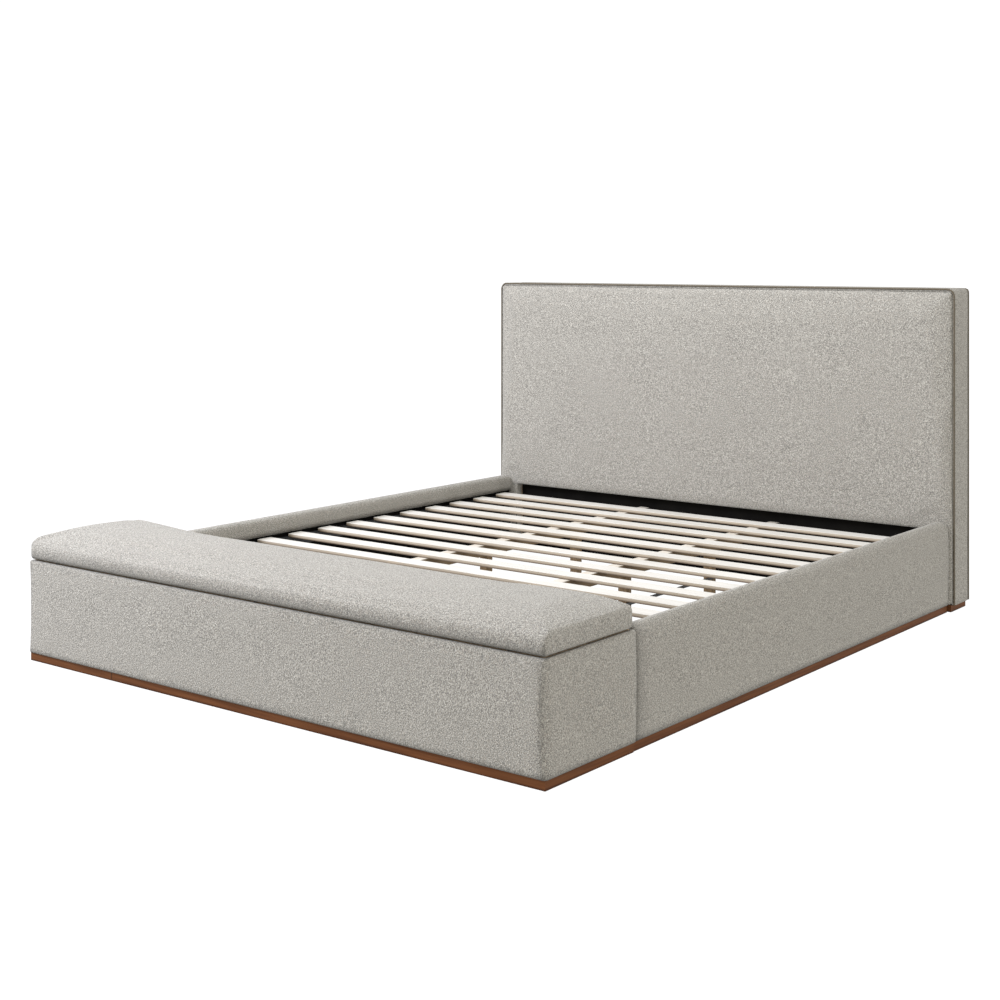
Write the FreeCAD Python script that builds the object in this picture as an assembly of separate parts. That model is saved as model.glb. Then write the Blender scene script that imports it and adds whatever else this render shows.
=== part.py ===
import FreeCAD, Part
import math
import os

os.makedirs("parts", exist_ok=True)

# Storage bed: padded headboard, two padded side rails, a slatted base and, at the foot, a
# bench with a hinged lid on two gas struts. Millimetres, +Z up, +X across the bed, +Y from
# the bench to the headboard. The origin is on the floor, under the middle of the bed.

V = FreeCAD.Vector

# Mattress that the bed holds, and the room left round it
mattress_width = 1930.0
mattress_length = 2032.0
mattress_side_gap = 5.0
mattress_end_gap = 15.0

# Overall sizes
headboard_height = 1170.0
headboard_thickness = 154.0
headboard_overhang = 15.0
bench_depth = 393.0
bench_top_z = 319.0
plinth_height = 25.0
plinth_inset = 6.0
plinth_strip_width = 40.0

# Clearances
seat_gap = 0.3
pin_clearance = 0.08
cut_overrun = 5.0
# An edge counts as running along an axis when this share of its length does
along_share = 0.999

# Headboard
piping_radius = 3.0
piping_sides = 8
piping_proud = 2.5
boxing_thickness = 12.0
boxing_start = 15.5
headboard_corner_radius = 30.0
pad_thickness = 40.0
pad_crown_width = 50.0
pad_crown_drop = 13.0
# Knee of the pad's crown, as shares of its width and of its drop
pad_knee_shares = (0.28, 0.36)
front_board_thickness = 12.0
back_panel_thickness = 6.0
stile_width = 90.0
inner_stile_width = 45.0
# Place of the inner stiles, as a share of the way from the middle to the outer stiles
mid_stile_share = 1 / 3
frame_rail_height = 90.0
skirt_top_z = 293.0
skirt_side_gap = 30.0
skirt_thickness = 3.0
headboard_plinth_inset = 10.0
headboard_plinth_width = 30.0

# Side rails
rail_thickness = 51.0
rail_step = 4.0
rail_top_z = 329.0
rail_crown_height = 24.0
rail_core_thickness = 25.0
rail_inner_pad = 8.0
rail_top_pad = 22.0
rail_end_pad = 12.0
rail_head_radius = 32.0
rail_foot_radius = 6.0
rail_cover_inner_z = 265.0
rail_plinth_inset = 5.0
rail_plinth_width = 30.0
lining_thickness = 1.5

# Slats, ledgers, beams and legs
slat_count = 13
slat_width = 65.0
slat_thickness = 13.0
slat_top_z = 262.0
slat_end_gap = 15.0
slat_edge_chamfer = 1.5
first_slat_gap = 70.0
last_slat_gap = 66.0
ledger_reach = 36.5
ledger_height = 30.0
beam_offset = 300.0
beam_width = 40.0
beam_height = 40.0
hanger_thickness = 2.0
hanger_depth = 35.0
hanger_side_height = 38.0
leg_side = 32.0
# Places of a beam's legs, as shares of the bay's length from the bench
leg_shares = (0.234, 0.505, 0.777)
brace_height = 9.0
brace_thickness = 6.0
brace_z = 109.0

# Steel angle brackets and bolts of the side rails
bracket_thickness = 3.0
bracket_leaf = 35.0
bracket_arm = 70.0
bracket_bottom_z = 90.0
bracket_height = 100.0
bolt_radius = 4.0
bolt_head_radius = 6.5
bolt_head_height = 5.0
bolt_edge = 25.0
bolt_corner = 20.0
rail_bolt_length = 27.0
headboard_bolt_length = 85.0
bench_bolt_length = 19.0

# Bench box
bench_pad = 14.0
bench_pad_corner_radius = 13.0
bench_pad_top_radius = 5.0
bench_panel_thickness = 18.0
bench_floor_thickness = 9.0
bench_rear_pad = 5.0
bench_rear_pad_bottom_z = 265.0
plinth_joint_x = -616.0
cross_batten_offset = 330.0
bumper_radius = 8.0
bumper_end_gap = 111.0

# Lid
lid_inset = 3.0
seam_gap = 4.0
lid_height = 83.0
lid_corner_radius = 10.0
lid_edge_radius = 9.0
lid_end_crown = 190.0
lid_board_margin = 12.0
lid_board_thickness = 15.0
lid_wrap_thickness = 2.0
lid_wrap_width = 37.0
lid_max_angle = 80.0

# Crown of the lid from front to back, as shares of its depth and height, two points an arc
lid_depth_shares = ((0.0, 0.42), (0.045, 0.70), (0.16, 0.89), (0.50, 1.0), (0.86, 0.955),
                    (0.965, 0.875), (1.0, 0.63))
# Crown of each end, as shares of the crown's length and of the lid's height
lid_end_shares = ((0.0, 1.0), (0.52, 0.955), (0.874, 0.80), (0.974, 0.71), (1.0, 0.60))

# Lid hinges
hinge_offsets = (-700.0, 0.0, 700.0)
hinge_length = 80.0
knuckle_count = 3
knuckle_radius = 4.5
knuckle_gap = 0.4
hinge_setback = 7.0
leaf_width = 30.0
pin_radius = 2.0
pin_head_radius = 3.2
pin_head_height = 1.5

# Gas struts
strut_arm = 170.0
strut_box_angle = 75.0
strut_lid_drop = 22.0
strut_plate_thickness = 3.0
strut_plate_width = 40.0
strut_plate_height = 50.0
strut_ear_clearance = 1.5
strut_ear_height = 34.0
strut_stud_radius = 4.0
strut_collar_radius = 6.0
strut_collar_length = 4.0
strut_clip_length = 3.0
strut_eye_radius = 8.0
strut_eye_width = 10.0
strut_neck_radius = 4.5
strut_neck_length = 5.0
cylinder_radius = 9.0
cylinder_wall = 1.5
cylinder_end_length = 3.0
cylinder_guide_length = 12.0
rod_radius = 4.0
rod_fitting_length = 19.0
piston_length = 6.0

# Places and sizes that follow from the values above
bay_half = mattress_width / 2 + mattress_side_gap
bay_length = mattress_length + 2 * mattress_end_gap
bench_half = bay_half + rail_thickness + rail_step
headboard_half = bench_half + headboard_overhang
bed_length = bench_depth + bay_length + headboard_thickness
bench_front_y = -bed_length / 2
bench_rear_y = bench_front_y + bench_depth
headboard_face_y = bench_rear_y + bay_length
headboard_rear_y = bed_length / 2

board_half = headboard_half - piping_proud
board_top_z = headboard_height - piping_proud
inner_half = board_half - boxing_thickness
inner_top_z = board_top_z - boxing_thickness
boxing_front_y = headboard_face_y + boxing_start
front_board_y = headboard_face_y + pad_thickness
headboard_frame_y = front_board_y + front_board_thickness
back_panel_y = headboard_rear_y - back_panel_thickness
skirt_y = front_board_y - skirt_thickness
skirt_half_width = bay_half - skirt_side_gap

rail_outer = bay_half + rail_thickness
rail_front_y = bench_rear_y + seat_gap
rail_rear_y = headboard_face_y - seat_gap
rail_core_inner = bay_half + rail_inner_pad
rail_core_outer = rail_core_inner + rail_core_thickness
rail_core_rear_y = rail_rear_y - rail_end_pad
rail_lining_inner = rail_core_inner - lining_thickness

beam_top_z = slat_top_z - slat_thickness
beam_bottom_z = beam_top_z - beam_height
slat_half = bay_half - slat_end_gap
first_slat_y = bench_rear_y + first_slat_gap
last_slat_y = headboard_face_y - last_slat_gap - slat_width

cavity_half = bench_half - bench_pad - bench_panel_thickness
panel_half = bench_half - bench_pad
front_panel_y = bench_front_y + bench_pad
cavity_front_y = front_panel_y + bench_panel_thickness
back_panel_rear_y = bench_rear_y - bench_rear_pad
cavity_rear_y = back_panel_rear_y - bench_panel_thickness
floor_top_z = plinth_height + bench_floor_thickness
bumper_offset = panel_half - bumper_end_gap
bench_lining_rear_y = back_panel_rear_y + lining_thickness

lid_half = bench_half - lid_inset
lid_front_y = bench_front_y + lid_inset
lid_rear_y = bench_rear_y - lid_inset
lid_depth = lid_rear_y - lid_front_y
lid_bottom_z = bench_top_z + seam_gap
lid_board_z = lid_bottom_z + lid_wrap_thickness
axis_y = bench_rear_y + hinge_setback
axis_z = bench_top_z + seam_gap / 2
leaf_thickness = seam_gap / 2


def box(x0, x1, y0, y1, z0, z1):
    """A box between two corners."""
    return Part.makeBox(x1 - x0, y1 - y0, z1 - z0, V(x0, y0, z0))


def rod_x(x0, x1, y, z, radius):
    """A round bar along X."""
    return Part.makeCylinder(radius, x1 - x0, V(x0, y, z), V(1, 0, 0))


def mirrored(shape):
    """The same piece on the other side of the bed."""
    return shape.mirror(V(0, 0, 0), V(1, 0, 0))


def both(shapes):
    """Pieces of the right side with their copies on the left."""
    return shapes + [mirrored(shape) for shape in shapes]


def line(a, b):
    return Part.LineSegment(a, b).toShape()


def arc(a, middle, b):
    return Part.Arc(a, middle, b).toShape()


def swept(edges, direction):
    """A closed outline pushed along a straight way."""
    return Part.Face(Part.Wire(edges)).extrude(direction)


def polygon(points, direction):
    """A straight-sided outline pushed along a straight way."""
    return Part.Face(Part.makePolygon(points + points[:1])).extrude(direction)


def rounded(shape, radius, chosen):
    """The shape with the edges that chosen() picks rounded off."""
    edges = [edge for edge in shape.Edges if chosen(edge)]
    return shape.makeFillet(radius, edges)


def runs_along(edge, axis):
    """True for a straight edge along the axis 'x', 'y' or 'z'."""
    if edge.Curve.TypeId != "Part::GeomLine":
        return False
    way = edge.Vertexes[1].Point.sub(edge.Vertexes[0].Point)
    return abs(getattr(way, axis)) > way.Length * along_share


def corner_ring(sides, radius, first_turn):
    """Corners of a regular outline about zero, as pairs."""
    turns = [first_turn + 2 * math.pi * index / sides for index in range(sides)]
    return [(radius * math.cos(turn), radius * math.sin(turn)) for turn in turns]


def bolt(start, way, length):
    """A hex bolt: its head lies against the plate at start, its shank goes along way."""
    up = V(0, 0, 1)
    across = way.cross(up)
    corners = []
    for rise, reach in corner_ring(6, bolt_head_radius, 0):
        corners.append(start + up * rise + across * reach)
    head = polygon(corners, way * -bolt_head_height)
    shank = Part.makeCylinder(bolt_radius, length, start, way)
    return head.fuse(shank).removeSplitter()


def bolt_hole(start, way, length):
    """The hole for a bolt, a little wider and deeper than its shank."""
    return Part.makeCylinder(bolt_radius + seat_gap, length + seat_gap, start, way)


def drilled(shape, holes):
    """The shape with every hole that reaches it."""
    for hole in holes:
        if shape.BoundBox.intersect(hole.BoundBox):
            shape = shape.cut(hole)
    return shape


# Rail brackets and their bolts, right side
def bracket(end_y, inward):
    """An angle plate: one leaf on the rail's inner face, one across the end of the bay."""
    arm_y = sorted((end_y, end_y + inward * bracket_arm))
    leaf_y = sorted((end_y, end_y + inward * bracket_thickness))
    z = (bracket_bottom_z, bracket_bottom_z + bracket_height)
    arm = box(rail_lining_inner - bracket_thickness, rail_lining_inner, *arm_y, *z)
    leaf = box(rail_lining_inner - bracket_leaf, rail_lining_inner, *leaf_y, *z)
    return arm.fuse(leaf).removeSplitter()


def bracket_bolt_places(end_y, inward, end_length):
    """Start, way and length of the two bolts of a bracket's arm, and of the two of its leaf."""
    heights = (bracket_bottom_z + bolt_edge, bracket_bottom_z + bracket_height - bolt_edge)
    arm = V(rail_lining_inner - bracket_thickness, end_y + inward * (bracket_arm - bolt_corner), 0)
    leaf = V(rail_lining_inner - bolt_corner, end_y + inward * bracket_thickness, 0)
    return [[(arm + V(0, 0, z), V(1, 0, 0), rail_bolt_length) for z in heights],
            [(leaf + V(0, 0, z), V(0, -inward, 0), end_length) for z in heights]]


def bolt_window(pair):
    """The window in a lining that two bolts pass through, hidden by their bracket."""
    bound = Part.makeCompound([bolt_hole(*place) for place in pair]).BoundBox
    return box(bound.XMin, bound.XMax, bound.YMin, bound.YMax, bound.ZMin, bound.ZMax)


bolt_pairs = bracket_bolt_places(headboard_face_y, -1, headboard_bolt_length)
bolt_pairs += bracket_bolt_places(bench_lining_rear_y, 1, bench_bolt_length)
right_bolts = [bolt(*place) for pair in bolt_pairs for place in pair]
bolt_holes = both([bolt_hole(*place) for pair in bolt_pairs for place in pair])
bolt_windows = both([bolt_window(pair) for pair in bolt_pairs])


# Headboard
def headboard_outline(half, top, radius, y):
    """Edges of an upright outline with rounded upper corners, from left foot to right foot."""
    bend = radius * (1 - math.sqrt(0.5))
    points = [V(-half, y, plinth_height), V(-half, y, top - radius), V(-half + bend, y, top - bend),
              V(-half + radius, y, top), V(half - radius, y, top), V(half - bend, y, top - bend),
              V(half, y, top - radius), V(half, y, plinth_height)]
    return [line(points[0], points[1]), arc(*points[1:4]), line(points[3], points[4]),
            arc(*points[4:7]), line(points[6], points[7])]


def upright_slab(half, top, radius, y0, y1):
    """A slab with the headboard's outline between two depths."""
    edges = headboard_outline(half, top, radius, y0)
    edges.append(line(V(half, y0, plinth_height), V(-half, y0, plinth_height)))
    return swept(edges, V(0, y1 - y0, 0))


def piping_tube(y):
    """A line of piping up one side, across the top and down the other side."""
    half = headboard_half - piping_radius
    top = headboard_height - piping_radius
    bend = headboard_corner_radius
    half_turn = math.pi / piping_sides
    ring = corner_ring(piping_sides, piping_radius / math.cos(half_turn), half_turn)
    foot = [V(reach - half, y + depth, plinth_height) for reach, depth in ring]
    side = polygon(foot, V(0, 0, top - bend - plinth_height))
    knee = Part.Face(Part.makePolygon([V(point.x, point.y, top - bend) for point in foot + foot[:1]]))
    corner = knee.revolve(V(bend - half, y, top - bend), V(0, 1, 0), 90)
    start = [V(bend - half, y + depth, top + rise) for rise, depth in ring]
    tube = polygon(start, V(2 * (half - bend), 0, 0))
    for piece in both([side, corner]):
        tube = tube.fuse(piece)
    return tube.removeSplitter()


def headboard_pieces():
    """Every piece of the headboard, by name."""
    inner_radius = headboard_corner_radius - boxing_thickness
    pipings = [piping_tube(boxing_front_y), piping_tube(back_panel_y)]
    outer = (board_half, board_top_z, headboard_corner_radius)
    inner = (inner_half, inner_top_z, inner_radius)

    # The padded front: crowned towards both sides and the top, open below for the black cloth
    crown_y = headboard_face_y + pad_crown_drop
    knee_y = headboard_face_y + pad_crown_drop * pad_knee_shares[1]
    knee = pad_crown_width * pad_knee_shares[0]
    crown = upright_slab(*outer, headboard_face_y, boxing_front_y)
    side = [V(board_half, boxing_front_y, 0), V(board_half, crown_y, 0), V(board_half - knee, knee_y, 0),
            V(board_half - pad_crown_width, headboard_face_y, 0)]
    mirror_side = [V(-point.x, point.y, 0) for point in side]
    plan = swept([line(side[0], side[1]), arc(*side[1:4]), line(side[3], mirror_side[3]),
                  arc(mirror_side[3], mirror_side[2], mirror_side[1]), line(mirror_side[1], mirror_side[0]),
                  line(mirror_side[0], side[0])], V(0, 0, headboard_height))
    head = [V(-headboard_half, boxing_front_y, 0), V(-headboard_half, headboard_face_y, 0),
            V(-headboard_half, headboard_face_y, board_top_z - pad_crown_width),
            V(-headboard_half, knee_y, board_top_z - knee), V(-headboard_half, crown_y, board_top_z),
            V(-headboard_half, boxing_front_y, board_top_z)]
    upright = swept([line(head[0], head[1]), line(head[1], head[2]), arc(*head[2:5]),
                     line(head[4], head[5]), line(head[5], head[0])], V(2 * headboard_half, 0, 0))
    core = upright_slab(*inner, boxing_front_y, front_board_y)
    window = box(-skirt_half_width, skirt_half_width, headboard_face_y - cut_overrun,
                 front_board_y + cut_overrun, 0, skirt_top_z)
    pad = crown.common(plan).common(upright).fuse(core).cut(window).cut(pipings[0]).removeSplitter()

    boxing = upright_slab(*outer, boxing_front_y, back_panel_y)
    hollow = upright_slab(*inner, boxing_front_y - cut_overrun, back_panel_y + cut_overrun)
    foot = box(-inner_half, inner_half, boxing_front_y - cut_overrun, back_panel_y + cut_overrun, 0,
               skirt_top_z)
    boxing = boxing.cut(hollow).cut(foot)
    back = upright_slab(*outer, back_panel_y, headboard_rear_y)
    for tube in pipings:
        boxing = boxing.cut(tube)
        back = back.cut(tube)

    # Ladder frame: rails between the outer stiles, short stiles between the rails
    depth = (headboard_frame_y, back_panel_y)
    stile_inner = inner_half - stile_width
    frame = both([box(stile_inner, inner_half, *depth, plinth_height, inner_top_z - inner_radius)])
    rail_bottoms = (plinth_height, skirt_top_z, inner_top_z - frame_rail_height)
    for z in rail_bottoms:
        frame.append(box(-stile_inner, stile_inner, *depth, z, z + frame_rail_height))
    stile_mid = stile_inner * mid_stile_share
    for low, high in zip(rail_bottoms, rail_bottoms[1:]):
        frame += both([box(stile_mid - inner_stile_width / 2, stile_mid + inner_stile_width / 2, *depth,
                           low + frame_rail_height, high)])

    base_half = board_half - headboard_plinth_inset
    base_front = headboard_face_y + headboard_plinth_inset
    base_rear = headboard_rear_y - headboard_plinth_inset
    width = headboard_plinth_width
    base = both([box(base_half - width, base_half, base_front, base_rear, 0, plinth_height)])
    base.append(box(-base_half + width, base_half - width, base_front, base_front + width, 0, plinth_height))
    base.append(box(-base_half + width, base_half - width, base_rear - width, base_rear, 0, plinth_height))
    return {
        "headboard_frame": frame,
        "headboard_front_board": [upright_slab(*inner, front_board_y, headboard_frame_y)],
        "headboard_front_pad": [pad],
        "headboard_boxing": [boxing],
        "headboard_piping": pipings,
        "headboard_back_panel": [back],
        "headboard_skirt_panel": [box(-skirt_half_width, skirt_half_width, skirt_y, front_board_y,
                                      plinth_height, skirt_top_z)],
        "headboard_plinth": base,
    }


# Side rails
def rail_cover():
    """The right rail's padded cover, rolled over the core, with a rounded end at the headboard."""
    length = rail_rear_y - rail_front_y
    shoulder_z = rail_top_z - rail_crown_height
    y = rail_front_y
    section = swept([line(V(rail_outer, y, plinth_height), V(rail_outer, y, shoulder_z)),
                     arc(V(rail_outer, y, shoulder_z), V((rail_outer + bay_half) / 2, y, rail_top_z),
                         V(bay_half, y, shoulder_z)),
                     line(V(bay_half, y, shoulder_z), V(bay_half, y, plinth_height)),
                     line(V(bay_half, y, plinth_height), V(rail_outer, y, plinth_height))], V(0, length, 0))
    x = bay_half - cut_overrun
    profile = box(x, rail_outer + cut_overrun, rail_front_y, rail_rear_y, plinth_height, rail_top_z)
    profile = rounded(profile, rail_head_radius, lambda edge: runs_along(edge, "x")
                      and edge.BoundBox.ZMin > shoulder_z and edge.BoundBox.YMin > 0)
    profile = rounded(profile, rail_foot_radius, lambda edge: runs_along(edge, "x")
                      and edge.BoundBox.ZMin > shoulder_z and edge.BoundBox.YMax < 0)
    core = box(rail_core_inner, rail_core_outer, rail_front_y - cut_overrun, rail_core_rear_y,
               plinth_height - cut_overrun, rail_top_z - rail_top_pad)
    bare = box(x, rail_core_inner, rail_front_y - cut_overrun, rail_rear_y + cut_overrun,
               plinth_height - cut_overrun, rail_cover_inner_z)
    return section.common(profile).cut(core).cut(bare).removeSplitter()


def rail_pieces():
    """Both side rails, by name."""
    cover = rail_cover()
    core = box(rail_core_inner, rail_core_outer, rail_front_y, rail_core_rear_y, plinth_height,
               rail_top_z - rail_top_pad)
    lining = box(rail_lining_inner, rail_core_inner, rail_front_y, rail_core_rear_y, plinth_height,
                 rail_cover_inner_z)
    bench_lining = box(-rail_lining_inner, rail_lining_inner, back_panel_rear_y, bench_lining_rear_y,
                       plinth_height, bench_rear_pad_bottom_z)
    ledger = box(rail_lining_inner - ledger_reach, rail_lining_inner, rail_front_y, rail_core_rear_y,
                 beam_top_z - ledger_height, beam_top_z)
    foot_outer = rail_outer - rail_plinth_inset
    foot = box(foot_outer - rail_plinth_width, foot_outer, rail_front_y, rail_rear_y, 0, plinth_height)
    right = {"rail_cover": cover, "rail_core": core, "slat_ledger": ledger}
    pieces = {"rail_plinths": both([foot]),
              "bay_linings": [drilled(piece, bolt_windows) for piece in both([lining]) + [bench_lining]]}
    for name, shape in right.items():
        pieces["right_" + name] = [drilled(shape, bolt_holes)]
        pieces["left_" + name] = [drilled(mirrored(shape), bolt_holes)]
    brackets = both([bracket(headboard_face_y, -1), bracket(bench_lining_rear_y, 1)])
    pieces["rail_brackets"] = [drilled(piece, bolt_holes) for piece in brackets]
    pieces["bracket_bolts"] = both(right_bolts)
    return pieces


# Slatted base
def slat(y):
    """One slat with its long edges eased."""
    plank = box(-slat_half, slat_half, y, y + slat_width, beam_top_z, slat_top_z)
    return plank.makeChamfer(slat_edge_chamfer, [edge for edge in plank.Edges if runs_along(edge, "x")])


def hanger(y, inward):
    """A steel hanger that carries one end of the right beam: a U with a back plate."""
    half = beam_width / 2 + seat_gap
    reach = sorted((y, y + inward * hanger_depth))
    open_reach = sorted((y + inward * hanger_thickness, y + inward * (hanger_depth + cut_overrun)))
    body = box(beam_offset - half - hanger_thickness, beam_offset + half + hanger_thickness, *reach,
               beam_bottom_z - hanger_thickness, beam_bottom_z + hanger_side_height)
    trough = box(beam_offset - half, beam_offset + half, *open_reach, beam_bottom_z,
                 beam_bottom_z + hanger_side_height + cut_overrun)
    return body.cut(trough)


def base_pieces():
    """Slats, beams, hangers, legs and the right legs' brace, by name."""
    pieces = {}
    pitch = (last_slat_y - first_slat_y) / (slat_count - 1)
    for index in range(slat_count):
        pieces["slat_%02d" % (index + 1)] = [slat(first_slat_y + index * pitch)]
    half = beam_width / 2
    beam = box(beam_offset - half, beam_offset + half, bench_lining_rear_y + hanger_thickness + seat_gap,
               skirt_y - hanger_thickness - seat_gap, beam_bottom_z, beam_top_z)
    legs = []
    leg_half = leg_side / 2
    places = [bench_rear_y + bay_length * share for share in leg_shares]
    for y in places:
        legs.append(box(beam_offset - leg_half, beam_offset + leg_half, y - leg_half, y + leg_half, 0,
                        beam_bottom_z))
    brace = box(beam_offset + leg_half, beam_offset + leg_half + brace_thickness, places[0] - leg_half,
                places[-1] + leg_half, brace_z, brace_z + brace_height)
    pieces["right_support_beam"] = [beam]
    pieces["left_support_beam"] = [mirrored(beam)]
    pieces["right_support_legs"] = legs
    pieces["left_support_legs"] = [mirrored(leg) for leg in legs]
    pieces["leg_brace"] = [brace]
    pieces["beam_hangers"] = both([hanger(bench_lining_rear_y, 1), hanger(skirt_y, -1)])
    return pieces


# Foot bench
def bench_pad_front():
    """The padded cover of the bench's front, with soft corners and a soft top edge."""
    pad = box(-bench_half, bench_half, bench_front_y, front_panel_y, plinth_height, bench_top_z)
    pad = rounded(pad, bench_pad_corner_radius, lambda edge: runs_along(edge, "z")
                  and edge.BoundBox.YMax < bench_front_y + seat_gap)
    return rounded(pad, bench_pad_top_radius, lambda edge: edge.BoundBox.ZMin > bench_top_z - seat_gap
                   and edge.BoundBox.YMin < front_panel_y - seat_gap)


def bench_pad_end():
    """The padded cover of the bench's right end."""
    pad = box(panel_half, bench_half, front_panel_y, bench_rear_y, plinth_height, bench_top_z)
    return rounded(pad, bench_pad_top_radius, lambda edge: runs_along(edge, "y")
                   and edge.BoundBox.ZMin > bench_top_z - seat_gap
                   and edge.BoundBox.XMin > bench_half - seat_gap)


def bench_pieces():
    """The storage box of the bench, by name."""
    top = bench_top_z
    foot = plinth_height
    front = box(-panel_half, panel_half, front_panel_y, cavity_front_y, foot, top)
    back = box(-panel_half, panel_half, cavity_rear_y, back_panel_rear_y, foot, top)
    end = box(cavity_half, panel_half, cavity_front_y, cavity_rear_y, foot, top)
    floor = box(-cavity_half, cavity_half, cavity_front_y, cavity_rear_y, foot, floor_top_z)
    skin = lining_thickness
    lining = box(-cavity_half, cavity_half, cavity_front_y, cavity_rear_y, floor_top_z, top - skin)
    inside = box(-cavity_half + skin, cavity_half - skin, cavity_front_y + skin, cavity_rear_y - skin,
                 floor_top_z + skin, top + cut_overrun)
    rear_pad = box(-panel_half, panel_half, back_panel_rear_y, bench_rear_y, bench_rear_pad_bottom_z, top)

    # Plinth: mitred corners, the front strip in two lengths
    half = bench_half - plinth_inset
    y0 = bench_front_y + plinth_inset
    width = plinth_strip_width
    up = V(0, 0, foot)
    long_strip = polygon([V(half, y0, 0), V(half - width, y0 + width, 0), V(plinth_joint_x, y0 + width, 0),
                          V(plinth_joint_x, y0, 0)], up)
    short_strip = polygon([V(-half, y0, 0), V(plinth_joint_x, y0, 0), V(plinth_joint_x, y0 + width, 0),
                           V(-half + width, y0 + width, 0)], up)
    side = polygon([V(half, y0, 0), V(half, bench_rear_y, 0), V(half - width, bench_rear_y, 0),
                    V(half - width, y0 + width, 0)], up)
    battens = [box(-half + width, half - width, back_panel_rear_y - width, back_panel_rear_y, 0, foot)]
    battens += both([box(cross_batten_offset - width / 2, cross_batten_offset + width / 2, y0 + width,
                         back_panel_rear_y - width, 0, foot)])
    bumper_y = (front_panel_y + cavity_front_y) / 2
    bumpers = [Part.makeCylinder(bumper_radius, seam_gap - seat_gap, V(x, bumper_y, top))
               for x in (-bumper_offset, 0, bumper_offset)]
    return {
        "bench_front_panel": [front],
        "bench_back_panel": [drilled(back, bolt_holes)],
        "bench_end_panels": both([end]),
        "bench_floor_panel": [floor],
        "bench_lining": [lining.cut(inside)],
        "bench_front_cover": [bench_pad_front()],
        "bench_end_covers": both([bench_pad_end()]),
        "bench_rear_cover": [rear_pad],
        "bench_plinth": [long_strip, short_strip] + both([side]),
        "bench_base_battens": battens,
        "lid_bumpers": bumpers,
    }


# Lid
def crown_edges(points):
    """Arcs through the points, two points an arc."""
    return [arc(*points[index:index + 3]) for index in range(0, len(points) - 1, 2)]


def lid_pieces():
    """The upholstered lid, by name: two crowned outlines cross, so its corners are mitred."""
    turn = lid_edge_radius
    bend = turn * (1 - math.sqrt(0.5))
    z = lid_bottom_z
    x = -lid_half
    crown = [V(x, lid_front_y + lid_depth * share, z + lid_height * rise) for share, rise in lid_depth_shares]
    edges = crown_edges(crown)
    edges.append(line(crown[-1], V(x, lid_rear_y, z + turn)))
    edges.append(arc(V(x, lid_rear_y, z + turn), V(x, lid_rear_y - bend, z + bend), V(x, lid_rear_y - turn, z)))
    edges.append(line(V(x, lid_rear_y - turn, z), V(x, lid_front_y + turn, z)))
    edges.append(arc(V(x, lid_front_y + turn, z), V(x, lid_front_y + bend, z + bend),
                     V(x, lid_front_y, z + turn)))
    edges.append(line(V(x, lid_front_y, z + turn), crown[0]))
    along = swept(edges, V(2 * lid_half, 0, 0))

    y = lid_front_y
    start = lid_half - lid_end_crown
    right = [V(start + lid_end_crown * share, y, z + lid_height * rise) for share, rise in lid_end_shares]
    left = [V(-point.x, y, point.z) for point in reversed(right)]
    corner = [V(lid_half, y, z + turn), V(lid_half - bend, y, z + bend), V(lid_half - turn, y, z)]
    mirror_corner = [V(-point.x, y, point.z) for point in reversed(corner)]
    across = swept(crown_edges(left) + [line(left[-1], right[0])] + crown_edges(right)
                   + [line(right[-1], corner[0]), arc(*corner), line(corner[2], mirror_corner[0]),
                      arc(*mirror_corner), line(mirror_corner[2], left[0])], V(0, lid_depth, 0))
    plan = box(-lid_half, lid_half, lid_front_y, lid_rear_y, z, z + lid_height)
    plan = rounded(plan, lid_corner_radius, lambda edge: runs_along(edge, "z"))

    margin = lid_board_margin
    board = box(-lid_half + margin, lid_half - margin, lid_front_y + margin, lid_rear_y - margin, lid_board_z,
                lid_board_z + lid_board_thickness)
    wrap = lid_wrap_width
    lining = box(-lid_half + wrap, lid_half - wrap, lid_front_y + wrap, lid_rear_y - wrap, z, lid_board_z)
    cushion = along.common(across).common(plan).cut(board).cut(lining)
    return {"lid_board": [board], "lid_cushion": [cushion], "lid_lining": [lining]}


# Lid hinges
def hinge_leaf(middle, side):
    """A leaf with its knuckles: side -1 lies on the box, side 1 lies under the lid."""
    pitch = hinge_length / knuckle_count
    start = middle - hinge_length / 2
    heights = sorted((axis_z, axis_z + side * leaf_thickness))
    leaf = box(start, start + hinge_length, axis_y - leaf_width, axis_y, *heights)
    for index in range(knuckle_count):
        own = (index % 2 == 0) == (side < 0)
        left = start + index * pitch
        if own:
            leaf = leaf.fuse(rod_x(left + knuckle_gap / 2, left + pitch - knuckle_gap / 2, axis_y, axis_z,
                                   knuckle_radius))
        else:
            reach = knuckle_radius + knuckle_gap
            leaf = leaf.cut(box(left - knuckle_gap / 2, left + pitch + knuckle_gap / 2, axis_y - reach,
                                axis_y + cut_overrun, axis_z - reach, axis_z + reach))
    bore = rod_x(start - cut_overrun, start + hinge_length + cut_overrun, axis_y, axis_z,
                 pin_radius + pin_clearance)
    return leaf.cut(bore).removeSplitter()


def hinge_pin(middle):
    """The pin of one hinge, with a round head at each end."""
    half = hinge_length / 2 + seat_gap
    pin = rod_x(middle - half, middle + half, axis_y, axis_z, pin_radius)
    for outer in (-half - pin_head_height, half):
        pin = pin.fuse(rod_x(middle + outer, middle + outer + pin_head_height, axis_y, axis_z, pin_head_radius))
    return pin.removeSplitter()


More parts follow.
